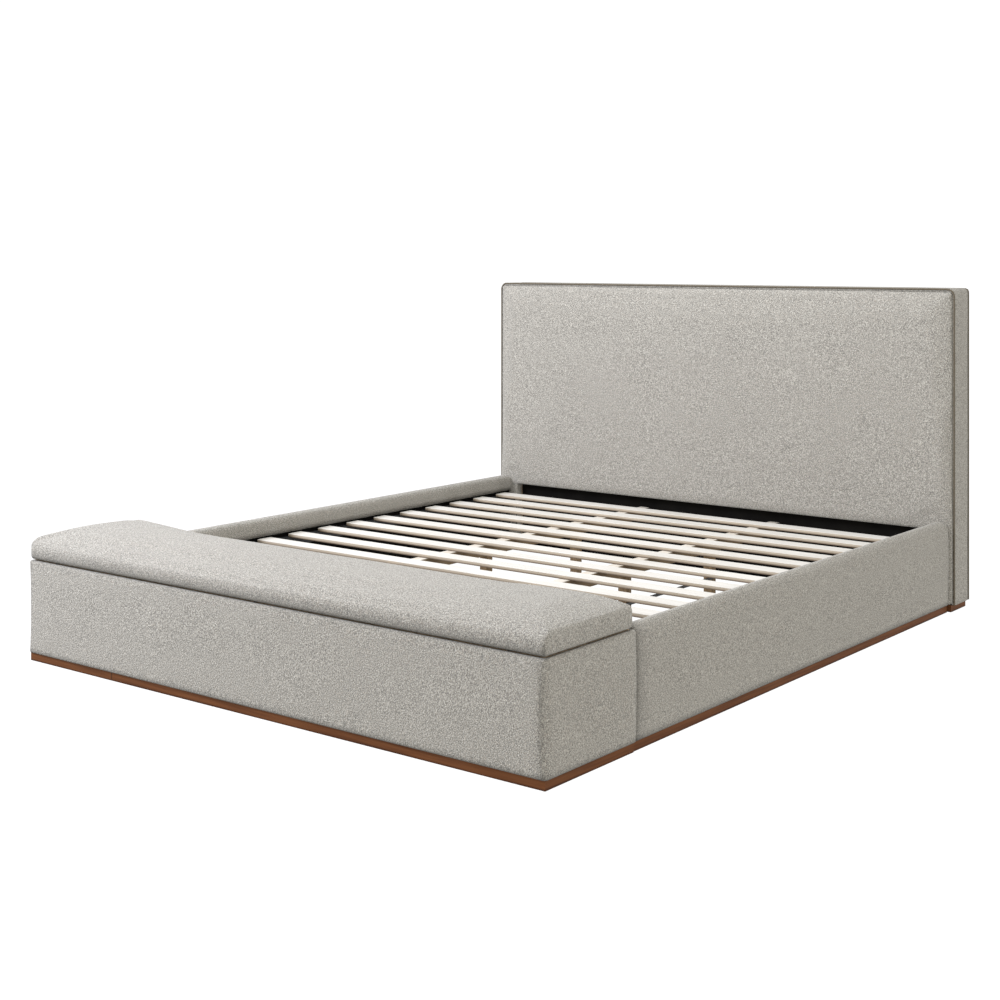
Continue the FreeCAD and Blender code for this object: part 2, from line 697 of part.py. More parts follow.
# Gas struts. The hinge is as far from the box pivot as from the lid pivot, so a strut turns by
# half the lid's angle while its rod slides straight out of its cylinder.
lid_pivot_angle = math.asin(strut_lid_drop / strut_arm)
closed_angle = math.radians(strut_box_angle) - lid_pivot_angle
closed_length = 2 * strut_arm * math.sin(closed_angle / 2)
box_pivot = V(0, axis_y - strut_arm * math.cos(math.radians(strut_box_angle)),
              axis_z - strut_arm * math.sin(math.radians(strut_box_angle)))
lid_pivot = V(0, axis_y - strut_arm * math.cos(lid_pivot_angle), axis_z - strut_lid_drop)
strut_way = (lid_pivot - box_pivot).normalize()
wall_x = cavity_half - lining_thickness
plate_x = wall_x - strut_plate_thickness
eye_outer_x = plate_x - strut_ear_clearance - strut_collar_length
eye_inner_x = eye_outer_x - strut_eye_width
strut_x = (eye_outer_x + eye_inner_x) / 2


def stud(plate_inner_x, pivot):
    """A stud that stands inwards from a plate: collar, journal for the eye, clip on its end."""
    clip_outer_x = eye_inner_x - seat_gap
    clip_inner_x = clip_outer_x - strut_clip_length
    journal = rod_x(clip_inner_x, plate_inner_x, pivot.y, pivot.z, strut_stud_radius)
    collar = rod_x(eye_outer_x + seat_gap, plate_inner_x, pivot.y, pivot.z, strut_collar_radius)
    clip = rod_x(clip_inner_x, clip_outer_x, pivot.y, pivot.z, strut_collar_radius)
    return journal.fuse(collar).fuse(clip)


def box_bracket():
    """The plate and stud on the box's right end panel."""
    rear = cavity_rear_y - lining_thickness - seat_gap
    rise = strut_plate_height / 2
    plate = box(plate_x, wall_x, rear - strut_plate_width, rear, box_pivot.z - rise, box_pivot.z + rise)
    return plate.fuse(stud(plate_x, box_pivot)).removeSplitter()


def lid_bracket():
    """The angle under the lid's right end: a flat foot, an ear and a stud."""
    ear_outer = wall_x - strut_ear_clearance
    ear_inner = ear_outer - strut_plate_thickness
    half = strut_plate_width / 2
    y = (lid_pivot.y - half, lid_pivot.y + half)
    foot = box(ear_outer - strut_plate_width, ear_outer, *y, lid_bottom_z - strut_plate_thickness, lid_bottom_z)
    ear = box(ear_inner, ear_outer, *y, lid_bottom_z - strut_ear_height, lid_bottom_z)
    return foot.fuse(ear).fuse(stud(ear_inner, lid_pivot)).removeSplitter()


def along_strut(shape_start, length, radius):
    """A round bar along the closed strut, from a distance past the box pivot."""
    start = V(strut_x, box_pivot.y, box_pivot.z) + strut_way * shape_start
    return Part.makeCylinder(radius, length, start, strut_way)


def eye(pivot):
    """The eye at one end of a strut, without its bore."""
    return rod_x(eye_inner_x, eye_outer_x, pivot.y, pivot.z, strut_eye_radius)


def eye_bore(pivot):
    """The bore of an eye."""
    return rod_x(eye_inner_x - cut_overrun, eye_outer_x + cut_overrun, pivot.y, pivot.z,
                 strut_stud_radius + pin_clearance)


def strut_cylinder():
    """The cylinder: eye, closed bottom, tube and rod guide."""
    bottom = strut_eye_radius + pin_clearance
    mouth = closed_length - rod_fitting_length
    bore_start = bottom + cylinder_end_length
    neck = along_strut(0, bore_start, strut_neck_radius)
    tube = along_strut(bottom, mouth - bottom, cylinder_radius).fuse(neck)
    chamber_length = mouth - cylinder_guide_length - bore_start
    chamber = along_strut(bore_start, chamber_length, cylinder_radius - cylinder_wall)
    guide = along_strut(bore_start, mouth - bore_start + cut_overrun, rod_radius + pin_clearance)
    shape = tube.fuse(eye(box_pivot)).cut(chamber).cut(guide)
    return shape.cut(eye_bore(box_pivot)).removeSplitter()


def strut_rod():
    """The rod: piston, rod, neck and eye."""
    inner_end = strut_eye_radius + pin_clearance + cylinder_end_length + seat_gap
    piston = along_strut(inner_end, piston_length, cylinder_radius - cylinder_wall - pin_clearance)
    shaft = along_strut(inner_end, closed_length - inner_end, rod_radius)
    neck_length = strut_eye_radius + strut_neck_length
    neck = along_strut(closed_length - neck_length, neck_length, strut_neck_radius)
    shape = shaft.fuse(piston).fuse(neck).fuse(eye(lid_pivot))
    return shape.cut(eye_bore(lid_pivot)).removeSplitter()


def mechanism_pieces():
    """Hinges and gas struts, by name."""
    cylinder = strut_cylinder()
    rod = strut_rod()
    return {
        "box_hinge_leaves": [hinge_leaf(x, -1) for x in hinge_offsets],
        "lid_hinge_leaves": [hinge_leaf(x, 1) for x in hinge_offsets],
        "hinge_pins": [hinge_pin(x) for x in hinge_offsets],
        "box_strut_brackets": both([box_bracket()]),
        "lid_strut_brackets": both([lid_bracket()]),
        "right_strut_cylinder": [cylinder],
        "left_strut_cylinder": [mirrored(cylinder)],
        "right_strut_rod": [rod],
        "left_strut_rod": [mirrored(rod)],
    }


def holed(pieces, names):
    """The named nodes with the bracket bolts' holes."""
    for name in names:
        pieces[name] = [drilled(shape, bolt_holes) for shape in pieces[name]]
    return pieces


nodes = {}
nodes.update(holed(headboard_pieces(), ("headboard_frame", "headboard_front_board", "headboard_front_pad")))
nodes.update(rail_pieces())
nodes.update(base_pieces())
nodes.update(bench_pieces())
nodes.update(lid_pieces())
nodes.update(mechanism_pieces())

for name, solids in nodes.items():
    shape = solids[0] if len(solids) == 1 else Part.makeCompound(solids)
    shape.exportStep("parts/%s.step" % name)
    count = len(shape.Solids)
    print(name, count, "solid" if count == 1 else "solids", "valid" if shape.isValid() else "NOT VALID")
print(len(nodes), "nodes")
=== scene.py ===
"""Looks of the storage bed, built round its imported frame. Metres, +Z up, +Y towards the headboard."""

import math

import bmesh
import bpy
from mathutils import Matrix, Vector, noise


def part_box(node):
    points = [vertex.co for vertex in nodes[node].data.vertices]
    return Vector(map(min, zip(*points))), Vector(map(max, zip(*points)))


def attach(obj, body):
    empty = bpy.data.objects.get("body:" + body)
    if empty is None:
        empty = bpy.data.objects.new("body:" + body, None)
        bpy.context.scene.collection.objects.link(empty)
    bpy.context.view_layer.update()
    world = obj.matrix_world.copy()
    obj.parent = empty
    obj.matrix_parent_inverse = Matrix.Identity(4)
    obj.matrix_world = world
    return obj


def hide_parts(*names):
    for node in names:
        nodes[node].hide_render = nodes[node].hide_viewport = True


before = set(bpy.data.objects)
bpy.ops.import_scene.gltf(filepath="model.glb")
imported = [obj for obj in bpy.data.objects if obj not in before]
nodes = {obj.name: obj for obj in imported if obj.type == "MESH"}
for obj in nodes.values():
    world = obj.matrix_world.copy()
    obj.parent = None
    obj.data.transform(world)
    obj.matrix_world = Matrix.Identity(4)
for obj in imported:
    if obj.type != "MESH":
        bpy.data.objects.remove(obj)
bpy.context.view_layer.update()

# Camera, as recovered from the photograph
CAMERA_PLACE = (3.3090, -4.4012, 1.2933)
CAMERA_TURN = 0.6626
CAMERA_LENS = 57.64
CAMERA_SHIFT = (-0.0022, -0.2454)

# Cloth simulation
SIM_FRAMES = 20
PRESSURE = 4.0
CLOTH = {"quality": 4, "mass": 0.3, "tension_stiffness": 15, "compression_stiffness": 15,
         "shear_stiffness": 5, "bending_stiffness": 0.6}

# Sizes of the looks that the frame doesn't hold: the weave's loops and the cloth's slow waves, the
# headboard's corners, the butt joint in the front plinth, the gap between a cover and the board under it
NUB = 0.0032
WAVE_LENGTH = 0.16
FRONT_CORNER = 0.026
REAR_CORNER = 0.011
PLINTH_JOINT = -0.616
PLINTH_JOINT_WIDTH = 0.0026
COVER_GAP = 0.0003

# How much denser wood grain is drawn across its fibres than along them
GRAIN_ALONG = 1.6
GRAIN_ACROSS = 45.0


# Node trees
def node(tree, kind, inputs=None, **settings):
    """A new node with its settings, its sockets filled with values or linked to other sockets."""
    made = tree.nodes.new(kind)
    for name, value in settings.items():
        setattr(made, name, value)
    for name, value in (inputs or {}).items():
        if isinstance(value, bpy.types.NodeSocket):
            tree.links.new(value, made.inputs[name])
        else:
            made.inputs[name].default_value = value
    return made


def material(name):
    """A new material: its tree, its surface shader and its object coordinates."""
    made = bpy.data.materials.new(name)
    made.use_nodes = True
    tree = made.node_tree
    surface = tree.nodes["Principled BSDF"]
    place = node(tree, "ShaderNodeTexCoord").outputs["Object"]
    return made, tree, surface, place


def noise_of(tree, place, scale, detail=2.0, roughness=0.5):
    """A noise between 0 and 1."""
    made = node(tree, "ShaderNodeTexNoise", {"Vector": place, "Scale": scale, "Detail": detail,
                                             "Roughness": roughness})
    return made.outputs["Fac"]


def ramp(tree, factor, low, high, start=0.0, end=1.0):
    """A value that goes from low to high while the factor goes from start to end."""
    made = node(tree, "ShaderNodeMapRange", {"Value": factor, "From Min": start, "From Max": end,
                                             "To Min": low, "To Max": high})
    return made.outputs["Result"]


def blended(tree, factor, first, second, blend="MIX"):
    """Two colours mixed by a factor."""
    sockets = {0: factor, 6: first, 7: second}
    return node(tree, "ShaderNodeMix", sockets, data_type="RGBA", blend_type=blend).outputs[2]


def times(tree, first, second):
    """The product of two values."""
    return node(tree, "ShaderNodeMath", {0: first, 1: second}, operation="MULTIPLY").outputs[0]


def plus(tree, first, second):
    """The sum of two values."""
    return node(tree, "ShaderNodeMath", {0: first, 1: second}, operation="ADD").outputs[0]


def bumped(tree, surface, height, distance, strength=1.0):
    """Relief on the surface, its depth in metres."""
    bump = node(tree, "ShaderNodeBump", {"Height": height, "Distance": distance, "Strength": strength})
    tree.links.new(bump.outputs["Normal"], surface.inputs["Normal"])


def shade(colour, factor):
    """A colour made lighter or darker, opaque."""
    return tuple(min(1.0, part * factor) for part in colour) + (1.0,)


# Materials
# Name of the mesh attribute that says how much painted shade a point of the cover takes, 0 to 1
PAINTED_SHADE = "painted_shade"


def boucle(name, colour):
    """Nubbly woven cover: fine loops with painted shade between them, flecks of warm yarn, soft clouds of
    tone, painted shade in its creases.
    """
    made, tree, surface, place = material(name)
    nubs = node(tree, "ShaderNodeTexVoronoi", {"Vector": place, "Scale": 1 / NUB, "Randomness": 1.0},
                feature="SMOOTH_F1")
    yarn = noise_of(tree, place, 0.95 / NUB, 2.0, 0.6)
    fibre = noise_of(tree, place, 1.5 / NUB, 2.0, 0.6)
    flecks = noise_of(tree, place, 0.8 / NUB, 2.0, 0.6)
    clouds = noise_of(tree, place, 5.0, 2.0)
    loops = ramp(tree, nubs.outputs["Distance"], 1.0, 0.0, 0.05, 0.62)
    tone = blended(tree, ramp(tree, yarn, 0.0, 1.0, 0.38, 0.62), shade(colour, 0.30), shade(colour, 1.74))
    tone = blended(tree, ramp(tree, fibre, 0.0, 0.55, 0.46, 0.60), tone, shade(colour, 0.52))
    warm = tuple(part * factor for part, factor in zip(colour, (1.16, 1.04, 0.96))) + (1.0,)
    tone = blended(tree, ramp(tree, flecks, 0.0, 0.5, 0.5, 0.65), tone, warm)
    # painted shade: the hollows between the loops are drawn darker
    tone = blended(tree, ramp(tree, loops, 0.55, 0.0), tone, shade(colour, 0.42))
    tone = blended(tree, ramp(tree, clouds, 0.0, 0.16, 0.35, 0.7), tone, shade(colour, 0.86))
    # painted shade: the cover darkens where the mesh attribute says
    painted_shade = node(tree, "ShaderNodeAttribute", attribute_name=PAINTED_SHADE).outputs["Fac"]
    tone = blended(tree, painted_shade, tone, shade(colour, 0.12))
    tree.links.new(tone, surface.inputs["Base Color"])
    surface.inputs["Roughness"].default_value = 0.95
    surface.inputs["Specular IOR Level"].default_value = 0.12
    surface.inputs["Sheen Weight"].default_value = 0.12
    surface.inputs["Sheen Roughness"].default_value = 0.6
    bumped(tree, surface, plus(tree, loops, times(tree, yarn, 0.9)), 0.0022, 0.9)
    return made


def welt(name, colour):
    """Tightly woven piping cloth with a slanting twill."""
    made, tree, surface, place = material(name)
    twill = node(tree, "ShaderNodeTexWave", {"Vector": place, "Scale": 150.0, "Distortion": 1.5,
                                             "Detail": 2.0}, bands_direction="DIAGONAL")
    fibre = noise_of(tree, place, 500.0, 3.0)
    tone = blended(tree, twill.outputs["Fac"], shade(colour, 0.7), shade(colour, 1.2))
    tone = blended(tree, ramp(tree, fibre, 0.0, 0.5, 0.3, 0.8), tone, shade(colour, 0.6))
    tree.links.new(tone, surface.inputs["Base Color"])
    surface.inputs["Roughness"].default_value = 0.9
    surface.inputs["Specular IOR Level"].default_value = 0.15
    bumped(tree, surface, twill.outputs["Fac"], 0.0005, 0.7)
    return made


def facing_share(tree, axis):
    """How far the face's own direction lies along an axis, whichever way it faces, 0 to 1."""
    facing = node(tree, "ShaderNodeNewGeometry").outputs["True Normal"]
    parts = node(tree, "ShaderNodeSeparateXYZ", {0: facing})
    return node(tree, "ShaderNodeMath", {0: parts.outputs[axis]}, operation="ABSOLUTE").outputs[0]


def grain_along(tree, place, axis):
    """Object coordinates for wood grain that runs along an axis."""
    scale = [GRAIN_ALONG if axis == other else GRAIN_ACROSS for other in "XYZ"]
    return node(tree, "ShaderNodeMapping", {"Vector": place, "Scale": scale}).outputs["Vector"]


def wood(name, colour, dark, roughness, along="X", streak=1.0, gloss=0.3, painted_shade_below=None, edge=None,
         joint=None):
    """Planed wood: long fibres, darker grain lines, slow tone changes. Strips that lie along Y turn their
    grain with them when along is "SIDE". Under the height it is given the wood takes a painted shade tint,
    and its upright faces take the tint in edge, partly darker edge wood and partly painted shade. At the
    place joint along X a dark butt joint shows."""
    made, tree, surface, place = material(name)
    if along == "SIDE":
        sideways = ramp(tree, facing_share(tree, "X"), 0.0, 1.0, 0.6, 0.8)
        grain_place = blended(tree, sideways, grain_along(tree, place, "X"), grain_along(tree, place, "Y"))
    else:
        grain_place = grain_along(tree, place, along)
    fibres = noise_of(tree, grain_place, 3.2, 5.0, 0.65)
    lines = node(tree, "ShaderNodeTexWave", {"Vector": grain_place, "Scale": 0.55, "Distortion": 7.0,
                                             "Detail": 4.0, "Detail Scale": 1.4}, bands_direction="DIAGONAL")
    clouds = noise_of(tree, place, 3.0, 2.0)
    tone = blended(tree, ramp(tree, fibres, 0.0, 1.0, 0.3, 0.75), shade(dark, 1.0), shade(colour, 1.0))
    tone = blended(tree, times(tree, ramp(tree, lines.outputs["Fac"], 0.0, 0.55, 0.55, 1.0), streak), tone,
                   shade(dark, 0.85))
    tone = blended(tree, ramp(tree, clouds, 0.0, 0.35, 0.35, 0.7), tone, shade(colour, 1.12))
    # painted shade: the wood is darker under the given height
    if painted_shade_below:
        height, tint, blur = painted_shade_below
        rise = node(tree, "ShaderNodeSeparateXYZ", {0: place}).outputs["Z"]
        tone = blended(tree, ramp(tree, rise, 1.0, 0.0, height - blur, height + blur), tone, tint, "MULTIPLY")
    # upright faces darker: partly darker edge wood, partly painted shade
    if edge:
        tone = blended(tree, ramp(tree, facing_share(tree, "Z"), 1.0, 0.0, 0.3, 0.8), tone, edge, "MULTIPLY")
    if joint:
        across = node(tree, "ShaderNodeSeparateXYZ", {0: place}).outputs["X"]
        gap = node(tree, "ShaderNodeMath", {0: across, 1: joint, 2: PLINTH_JOINT_WIDTH / 2},
                   operation="COMPARE")
        tone = blended(tree, gap.outputs[0], tone, shade(dark, 0.25))
    tree.links.new(tone, surface.inputs["Base Color"])
    surface.inputs["Roughness"].default_value = roughness
    surface.inputs["Specular IOR Level"].default_value = gloss
    bumped(tree, surface, fibres, 0.00025, 0.6)
    return made


def walnut(name, joint=None):
    """Stained plinth wood, with painted shade along its foot."""
    return wood(name, (0.138, 0.052, 0.018), (0.070, 0.023, 0.007), 0.6, along="SIDE", gloss=0.08,
                painted_shade_below=(0.004, (0.40, 0.36, 0.32, 1.0), 0.003), joint=joint)


def black_cloth(name):
    """Thin black dust cloth with a faint plain weave."""
    made, tree, surface, place = material(name)
    threads = noise_of(tree, place, 700.0, 2.0)
    folds = noise_of(tree, place, 14.0, 2.0)
    tone = blended(tree, threads, (0.002, 0.002, 0.002, 1), (0.007, 0.006, 0.005, 1))
    tone = blended(tree, ramp(tree, folds, 0.0, 0.5, 0.4, 0.8), tone, (0.010, 0.009, 0.007, 1))
    tree.links.new(tone, surface.inputs["Base Color"])
    surface.inputs["Roughness"].default_value = 0.92
    surface.inputs["Specular IOR Level"].default_value = 0.04
    bumped(tree, surface, threads, 0.0003, 0.5)
    return made


def metal(name, colour, metallic, roughness, grit=0.15):
    """Coated or plated metal with a fine uneven polish."""
    made, tree, surface, place = material(name)
    grain = noise_of(tree, place, 260.0, 4.0, 0.7)
    smudge = noise_of(tree, place, 18.0, 2.0)
    tone = blended(tree, ramp(tree, smudge, 0.0, 0.5, 0.4, 0.8), shade(colour, 1.0), shade(colour, 0.8))
    tree.links.new(tone, surface.inputs["Base Color"])
    tree.links.new(ramp(tree, grain, roughness - grit / 2, roughness + grit / 2), surface.inputs["Roughness"])
    surface.inputs["Metallic"].default_value = metallic
    bumped(tree, surface, grain, 0.00008, 0.4)
    return made


COVER = boucle("cover_fabric", (0.375, 0.354, 0.306))
WELT = welt("welt_fabric", (0.120, 0.099, 0.069))
WALNUT = walnut("walnut")
WALNUT_FRONT = walnut("walnut_front", joint=PLINTH_JOINT)
# painted shade on the slats' lower edge; their upright faces are partly darker wood, partly painted shade
SLAT_WOOD = wood("slat_wood", (0.54, 0.52, 0.475), (0.44, 0.41, 0.355), 0.7, streak=0.3, gloss=0.2,
                 painted_shade_below=(0.2530, (0.24, 0.18, 0.13, 1.0), 0.003), edge=(0.76, 0.67, 0.56, 1.0))
# painted shade on the beams' sides below the slats
BEAM_WOOD = wood("beam_wood", (0.53, 0.50, 0.44), (0.42, 0.36, 0.28), 0.7, along="Y", streak=0.5, gloss=0.2,
                 painted_shade_below=(0.2475, (0.30, 0.23, 0.15, 1.0), 0.0008))
# pale pine legs drawn dark: painted shade under the bed
PAINTED_SHADE_LEG_WOOD = wood("leg_wood", (0.235, 0.160, 0.088), (0.120, 0.078, 0.040), 0.7, along="Z", gloss=0.15)
TIMBER = wood("frame_timber", (0.66, 0.49, 0.30), (0.48, 0.32, 0.17), 0.75, along="Z")
PLYWOOD = wood("plywood", (0.68, 0.53, 0.36), (0.55, 0.40, 0.25), 0.7)
BLACK_WOOD = wood("black_wood", (0.018, 0.018, 0.018), (0.008, 0.008, 0.008), 0.6, along="Y")
BLACK_CLOTH = black_cloth("black_cloth")
BLACK_STEEL = metal("black_steel", (0.02, 0.02, 0.02), 0.0, 0.5)
ZINC = metal("zinc_steel", (0.36, 0.365, 0.37), 1.0, 0.42)
CHROME = metal("chromed_rod", (0.78, 0.78, 0.80), 1.0, 0.12, 0.06)
STRUT_BLACK = metal("strut_black", (0.02, 0.02, 0.022), 0.0, 0.35)
RUBBER = metal("rubber", (0.02, 0.02, 0.02), 0.0, 0.8)


def dress(names, finish):
    """Gives CAD nodes their material."""
    for name in names:
        slots = nodes[name].data.materials
        slots.clear()
        slots.append(finish)


def both_sides(part):
    """The names of a part's left and right nodes."""
    return ["left_" + part, "right_" + part]


dress(["headboard_plinth", "rail_plinths"], WALNUT)
dress(["bench_plinth"], WALNUT_FRONT)
dress([name for name in nodes if name.startswith("slat_")], SLAT_WOOD)
dress(both_sides("support_beam"), BEAM_WOOD)
dress(both_sides("support_legs"), PAINTED_SHADE_LEG_WOOD)
dress(["headboard_frame", "bench_base_battens"] + both_sides("rail_core"), TIMBER)
dress(["headboard_front_board", "bench_front_panel", "bench_back_panel", "bench_end_panels",
       "bench_floor_panel", "lid_board"], PLYWOOD)
dress(both_sides("slat_ledger"), BLACK_WOOD)
dress(["headboard_skirt_panel", "bay_linings", "bench_lining", "lid_lining"], BLACK_CLOTH)
dress(["rail_brackets", "beam_hangers", "leg_brace", "box_strut_brackets", "lid_strut_brackets"], BLACK_STEEL)
dress(["bracket_bolts", "box_hinge_leaves", "lid_hinge_leaves", "hinge_pins"], ZINC)
dress(both_sides("strut_cylinder"), STRUT_BLACK)
dress(both_sides("strut_rod"), CHROME)
dress(["lid_bumpers"], RUBBER)


# Meshes
def mesh_piece(name, points, faces, finish):
    """A smooth-shaded mesh object in the bed's own frame."""
    mesh = bpy.data.meshes.new(name)
    mesh.from_pydata([tuple(point) for point in points], [], faces)
    mesh.validate()
    made = bpy.data.objects.new(name, mesh)
    bpy.context.scene.collection.objects.link(made)
    finished(made, finish)
    return made


def finished(piece, finish):
    """Smooth shading, outward faces and one material."""
    form = bmesh.new()
    form.from_mesh(piece.data)
    bmesh.ops.remove_doubles(form, verts=form.verts, dist=1e-6)
    bmesh.ops.recalc_face_normals(form, faces=form.faces)
    form.to_mesh(piece.data)
    form.free()
    piece.data.materials.clear()
    piece.data.materials.append(finish)
    for face in piece.data.polygons:
        face.use_smooth = True


def paint_shade(piece, depth):
    """Writes how much painted shade each point takes, for the cover's material."""
    values = piece.data.attributes.new(PAINTED_SHADE, "FLOAT", "POINT")
    for vertex, value in zip(piece.data.vertices, values.data):
        value.value = min(1.0, max(0.0, depth(vertex.co)))


def nearness(distance, reach):
    """1 at no distance, falling to 0 at the reach."""
    return max(0.0, 1 - abs(distance) / reach)


def swept_loop(name, stations, finish):
    """A closed tube: each station is the same number of points round a closed outline."""
    count = len(stations[0])
    points = [point for station in stations for point in station]
    faces = []
    for index in range(len(stations) - 1):
        for turn in range(count):
            nearer = index * count + turn
            beside = index * count + (turn + 1) % count
            faces.append((nearer, beside, beside + count, nearer + count))
    last = len(points) - count
    faces.append(tuple(range(count)))
    faces.append(tuple(range(last, last + count)))
    return mesh_piece(name, points, faces, finish)


def spaced(start, end, step):
    """Values from start to end, about a step apart."""
    count = max(1, round(abs(end - start) / step))
    return [start + (end - start) * index / count for index in range(count + 1)]


def quarter(centre, radius, first, steps=6):
    """Points on a quarter turn about a centre in a plane, first given in quarters."""
    turns = [(first + index / steps) * math.pi / 2 for index in range(steps + 1)]
    return [(centre[0] + radius * math.cos(turn), centre[1] + radius * math.sin(turn)) for turn in turns]


def waviness(point, size):
    """A slow, seeded unevenness of stretched cloth."""
    return size * noise.noise(Vector(point) / WAVE_LENGTH)


def cloth_settled(piece, cap, free, pressure=PRESSURE):
    """Lets the cover swell under pressure where free(point) is true, by no more than the cap."""
    rest = [point.co.copy() for point in piece.data.vertices]
    held = piece.vertex_groups.new(name="held")
    held.add([index for index, point in enumerate(rest) if not free(point)], 1.0, "REPLACE")
    cloth = piece.modifiers.new("settle", "CLOTH")
    for name, value in CLOTH.items():
        setattr(cloth.settings, name, value)
    cloth.settings.use_pressure = True
    cloth.settings.uniform_pressure_force = pressure
    cloth.settings.vertex_group_mass = held.name
    cloth.settings.effector_weights.gravity = 0
    cloth.collision_settings.use_collision = False
    cloth.point_cache.frame_start = 1
    cloth.point_cache.frame_end = SIM_FRAMES
    scene = bpy.context.scene
    for step in range(1, SIM_FRAMES + 1):
        scene.frame_set(step)
    swollen = piece.evaluated_get(bpy.context.evaluated_depsgraph_get()).data
    moved = [point.co.copy() for point in swollen.vertices]
    piece.modifiers.remove(cloth)
    piece.vertex_groups.remove(held)
    for vertex, start, end in zip(piece.data.vertices, rest, moved):
        way = end - start
        if way.length > cap:
            way = way.normalized() * cap * (1 + math.log(way.length / cap) * 0.1)
        vertex.co = start + way
    piece.data.update()
    scene.frame_set(1)


def remeshed(name, source, voxel, smoothing, finish):
    """A copy of a CAD node as an even mesh."""
    made = bpy.data.objects.new(name, nodes[source].data.copy())
    bpy.context.scene.collection.objects.link(made)
    even = made.modifiers.new("even", "REMESH")
    even.mode = "VOXEL"
    even.voxel_size = voxel
    soft = made.modifiers.new("soft", "SMOOTH")
    soft.iterations = smoothing
    soft.factor = 0.5
    baked = bpy.data.meshes.new_from_object(made.evaluated_get(bpy.context.evaluated_depsgraph_get()))
    made.modifiers.clear()
    made.data = baked
    finished(made, finish)
    return made


def depth_evened(piece, rounds, inside):
    """Evens out how far forward the cover lies where inside(point) is true, so that no fold shows there."""
    form = bmesh.new()
    form.from_mesh(piece.data)
    chosen = [vertex for vertex in form.verts if inside(vertex.co)]
    for _ in range(rounds):
        bmesh.ops.smooth_vert(form, verts=chosen, factor=0.5, use_axis_y=True)
    form.to_mesh(piece.data)
    form.free()


def pad(piece, body, slot, fill, *replaced):
    """Attaches a stuffed piece to its body and hides the CAD nodes that it stands for."""
    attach(piece, body)
    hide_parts(*replaced)


# Headboard
def headboard_front():
    """The headboard's front cushion: it swells above skirt and rails, and is crowned towards its edges."""
    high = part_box("headboard_front_pad")[1]
    piece = remeshed("headboard_front_cushion", "headboard_front_pad", voxel=0.008, smoothing=3, finish=COVER)
    back = high.y - 0.026
    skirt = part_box("headboard_skirt_panel")[1].z
    rails_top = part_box("right_rail_cover")[1].z
    bay_half = 0.95
    cloth_settled(piece, cap=0.006, free=lambda point: point.y < back
                  and point.z > (rails_top + 0.02 if abs(point.x) > bay_half else skirt + 0.008))
    crown, reach = 0.004, 0.090
    for vertex in piece.data.vertices:
        place = vertex.co
        if place.y < back:
            past_side = 1 - nearness(high.x - abs(place.x), reach) ** 2
            past_top = 1 - nearness(high.z - place.z, reach) ** 2
            vertex.co.y += waviness(place, 0.0012) - crown * past_side * past_top
    rim, corner = 0.014, 0.190
    depth_evened(piece, 30, lambda point: point.y < back and rim < high.x - abs(point.x) < corner
                 and rim < high.z - point.z < corner)
    # painted shade along the cushion's foot just above the skirt, across the bay
    paint_shade(piece, lambda point: 0.5 * nearness(point.z - skirt, 0.010) * (abs(point.x) < bay_half + 0.02))
    pad(piece, "bed", "upholstery", 0.8, "headboard_front_pad")
    return piece


def upright_path(half, top, radius, foot, step):
    """Points and outward ways up one side of the headboard, over its rounded corners and down again."""
    path = [((-half, z), (-1.0, 0.0)) for z in spaced(foot, top - radius, step)[:-1]]
    for x, z in reversed(quarter((0.0, 0.0), 1.0, 1)):
        path.append(((-half + radius + radius * x, top - radius + radius * z), (x, z)))
    path += [((x, top), (0.0, 1.0)) for x in spaced(-half + radius, half - radius, step)[1:-1]]
    for x, z in reversed(quarter((0.0, 0.0), 1.0, 0)):
        path.append(((half - radius + radius * x, top - radius + radius * z), (x, z)))
    path += [((half, z), (1.0, 0.0)) for z in spaced(top - radius, foot, step)[1:]]
    return path


def corner_reach(way_x, way_z, radius):
    """How far from the front corner's centre a corner of another radius reaches, in one direction."""
    wide, narrow = max(abs(way_x), abs(way_z)), min(abs(way_x), abs(way_z))
    flat = FRONT_CORNER - radius
    if FRONT_CORNER * narrow <= flat * wide:
        return FRONT_CORNER / wide
    return flat * (wide + narrow) + math.sqrt(radius ** 2 - flat ** 2 * (1 - 2 * wide * narrow))


def headboard_band():
    """The boxing: the band of cover round the headboard's edge, crowned between its two lines of piping. Its
    corners grow tighter from front to back."""
    low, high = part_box("headboard_boxing")
    depth = 0.0115
    front = low.y + 0.0005
    rear = high.y - 0.0005
    crown_height, seam_dip, dips_in_depth = 0.0022, 0.0035, 12
    rises = []
    for share in spaced(0.0, 1.0, 1 / 14):
        crown = crown_height * math.sin(math.pi * share) ** 0.5
        near_front = max(0.0, 1 - share * dips_in_depth)
        near_rear = max(0.0, 1 - (1 - share) * dips_in_depth)
        rises.append((front + (rear - front) * share, crown - seam_dip * (near_front ** 2 + near_rear ** 2)))
    stations = []
    for (x, z), (way_x, way_z) in upright_path(high.x, high.z, FRONT_CORNER, low.z, step=0.018):
        outer = []
        for y, rise in rises:
            share = (y - front) / (rear - front)
            corner = corner_reach(way_x, way_z, FRONT_CORNER + (REAR_CORNER - FRONT_CORNER) * share)
            lift = corner - FRONT_CORNER + rise + waviness((x, y, z), 0.0007)
            outer.append((x + way_x * lift, y, z + way_z * lift))
        inner = [(x - way_x * depth, y, z - way_z * depth) for y, rise in reversed(rises)]
        stations.append(outer + inner)
    piece = swept_loop("headboard_band_cover", stations, COVER)
    # painted shade along the band's front and rear seams, next to the piping
    paint_shade(piece, lambda point: 0.25 * nearness(point.y - front, 0.008)
            + 0.2 * nearness(point.y - rear, 0.008))
    pad(piece, "bed", "upholstery", 1.0, "headboard_boxing")
    return piece


